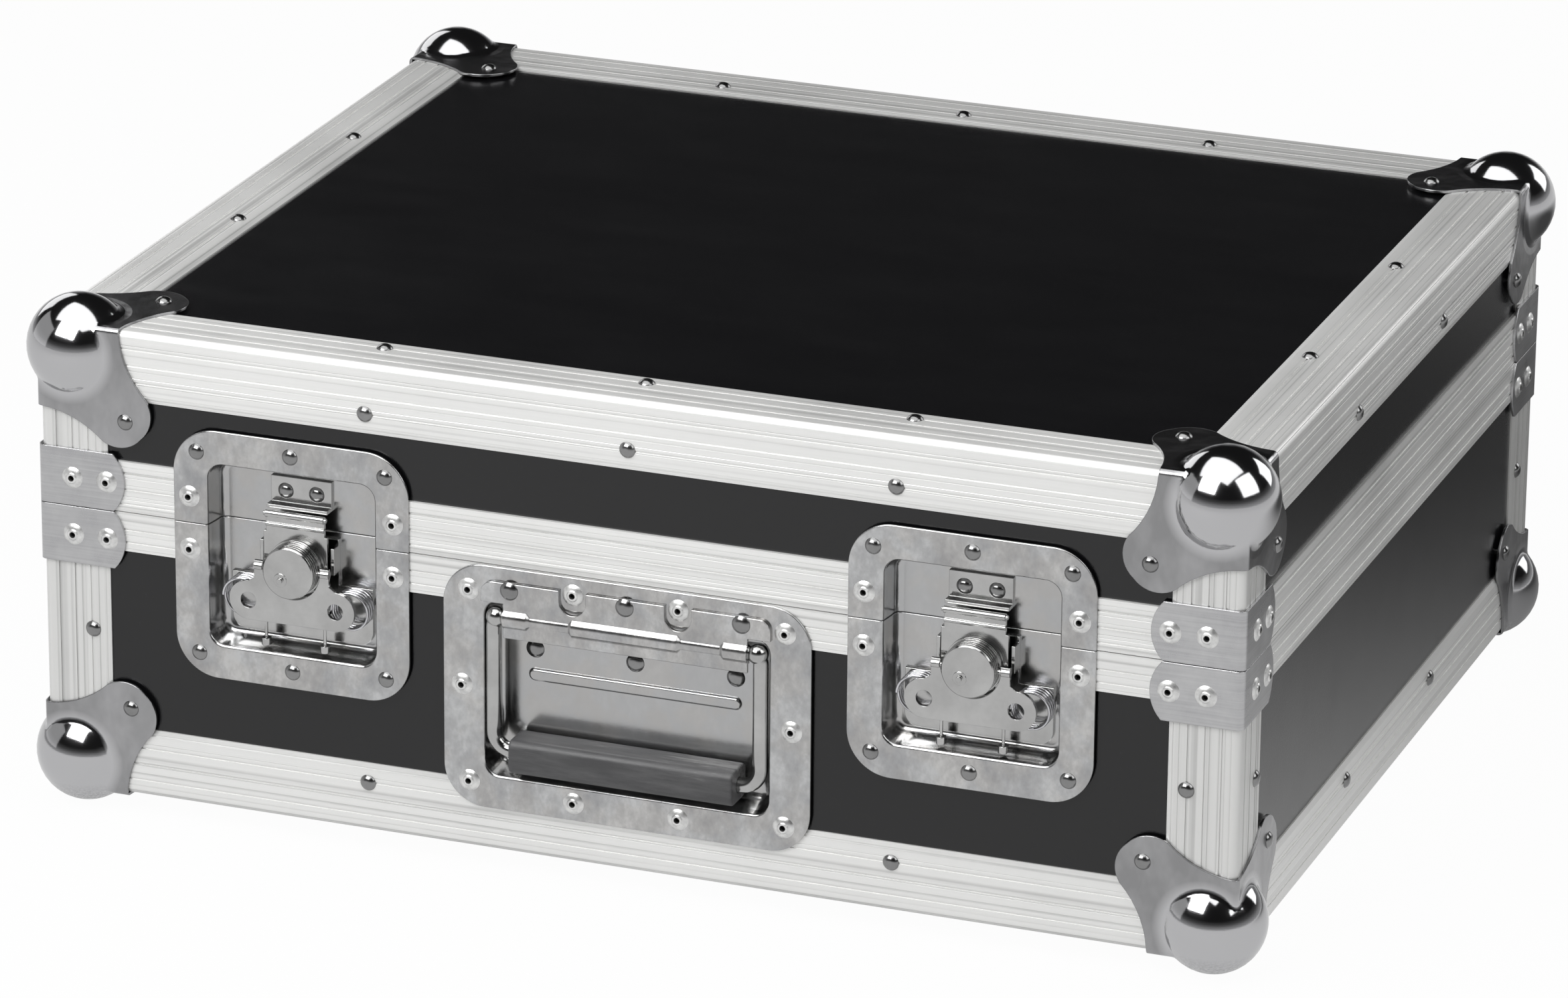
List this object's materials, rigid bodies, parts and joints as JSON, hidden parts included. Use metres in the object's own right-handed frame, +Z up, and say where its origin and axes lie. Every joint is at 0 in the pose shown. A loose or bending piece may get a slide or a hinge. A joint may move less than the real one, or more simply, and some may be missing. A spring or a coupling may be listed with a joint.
{
  "type": "turntable case",
  "caption": "Hard flight case with a hinged lid, metal edging, ball corners, recessed turning latches and a recessed bail handle.",
  "frame": {"origin": "centre of the footprint, on the plane the ball corners stand on", "axes": "+X to the right seen from the front, +Y to the back where the hinges are, +Z up"},
  "size_m": [0.5406, 0.4486, 0.2238],
  "materials": {
    "laminate": "fine textured black laminate",
    "extrusion": "satin anodised",
    "chrome": "mirror",
    "zinc": "zinc plated",
    "dish": "bright zinc plated pressing",
    "latch_steel": "nickel plated",
    "spring_wire": "plated wire",
    "nickel": "nickel plated",
    "rivet_aluminium": "drawn",
    "grip_rubber": "smooth matt",
    "foam": "closed cell foam"
  },
  "bodies": {
    "base": {"base_front_panel": "laminate", "base_front_edge": "extrusion", "base_front_closure": "extrusion", "base_back_panel": "laminate", "base_back_edge": "extrusion", "base_back_closure": "extrusion", "base_left_panel": "laminate", "base_left_edge": "extrusion", "base_left_closure": "extrusion", "base_right_panel": "laminate", "base_right_edge": "extrusion", "base_right_closure": "extrusion", "base_bottom_panel": "laminate", "base_posts": "extrusion", "base_ball_corners": "chrome", "base_corner_braces": "zinc", "left_base_latch_dish": "dish", "left_latch_frame": "latch_steel", "right_base_latch_dish": "dish", "right_latch_frame": "latch_steel", "latch_springs": "spring_wire", "handle_dish": "dish", "handle_bracket": "dish", "hinge_base_leaves": "zinc", "hinge_pins": "zinc", "base_foam": "foam", "base_dome_rivets": "nickel", "base_pop_rivets": "rivet_aluminium"},
    "lid": {"lid_front_panel": "laminate", "lid_front_edge": "extrusion", "lid_front_closure": "extrusion", "lid_back_panel": "laminate", "lid_back_edge": "extrusion", "lid_back_closure": "extrusion", "lid_left_panel": "laminate", "lid_left_edge": "extrusion", "lid_left_closure": "extrusion", "lid_right_panel": "laminate", "lid_right_edge": "extrusion", "lid_right_closure": "extrusion", "lid_top_panel": "laminate", "lid_posts": "extrusion", "lid_ball_corners": "chrome", "lid_corner_braces": "zinc", "left_lid_latch_dish": "dish", "right_lid_latch_dish": "dish", "hinge_lid_leaves": "zinc", "lid_foam": "foam", "lid_dome_rivets": "nickel", "lid_pop_rivets": "rivet_aluminium", "left_latch_strike": "latch_steel", "right_latch_strike": "latch_steel"},
    "left_knob": {"left_latch_knob": "latch_steel"},
    "left_wing": {"left_latch_wing": "latch_steel"},
    "left_claw": {"left_latch_claw": "latch_steel"},
    "right_knob": {"right_latch_knob": "latch_steel"},
    "right_wing": {"right_latch_wing": "latch_steel"},
    "right_claw": {"right_latch_claw": "latch_steel"},
    "handle": {"handle_bail": "latch_steel", "handle_grip": "grip_rubber"}
  },
  "joints": [
    {"name": "lid_hinge", "type": "hinge", "parent": "base", "child": "lid", "pos_m": [0, 0.2202, 0.1354], "axis": [-1, 0, 0], "range_deg": [0, 110]},
    {"name": "left_knob_turn", "type": "hinge", "parent": "base", "child": "left_knob", "pos_m": [-0.148, -0.215, 0.1204], "axis": [0, 1, 0], "range_deg": [0, 180]},
    {"name": "left_wing_fold", "type": "hinge", "parent": "left_knob", "child": "left_wing", "pos_m": [-0.148, -0.2154, 0.1204], "axis": [-1, 0, 0], "range_deg": [0, 90]},
    {"name": "left_claw_slide", "type": "slide", "parent": "base", "child": "left_claw", "axis": [0, 0, 1], "range_m": [0, 0.006]},
    {"name": "right_knob_turn", "type": "hinge", "parent": "base", "child": "right_knob", "pos_m": [0.148, -0.215, 0.1204], "axis": [0, 1, 0], "range_deg": [0, 180]},
    {"name": "right_wing_fold", "type": "hinge", "parent": "right_knob", "child": "right_wing", "pos_m": [0.148, -0.2154, 0.1204], "axis": [-1, 0, 0], "range_deg": [0, 90]},
    {"name": "right_claw_slide", "type": "slide", "parent": "base", "child": "right_claw", "axis": [0, 0, 1], "range_m": [0, 0.006]},
    {"name": "handle_swing", "type": "hinge", "parent": "base", "child": "handle", "pos_m": [0, -0.215, 0.1132], "axis": [-1, 0, 0], "range_deg": [0, 90]}
  ],
  "couplings": [
    {"joint": "left_claw_slide", "follows": "left_knob_turn", "m_per_rad": 0.0019099},
    {"joint": "right_claw_slide", "follows": "right_knob_turn", "m_per_rad": 0.0019099}
  ]
}
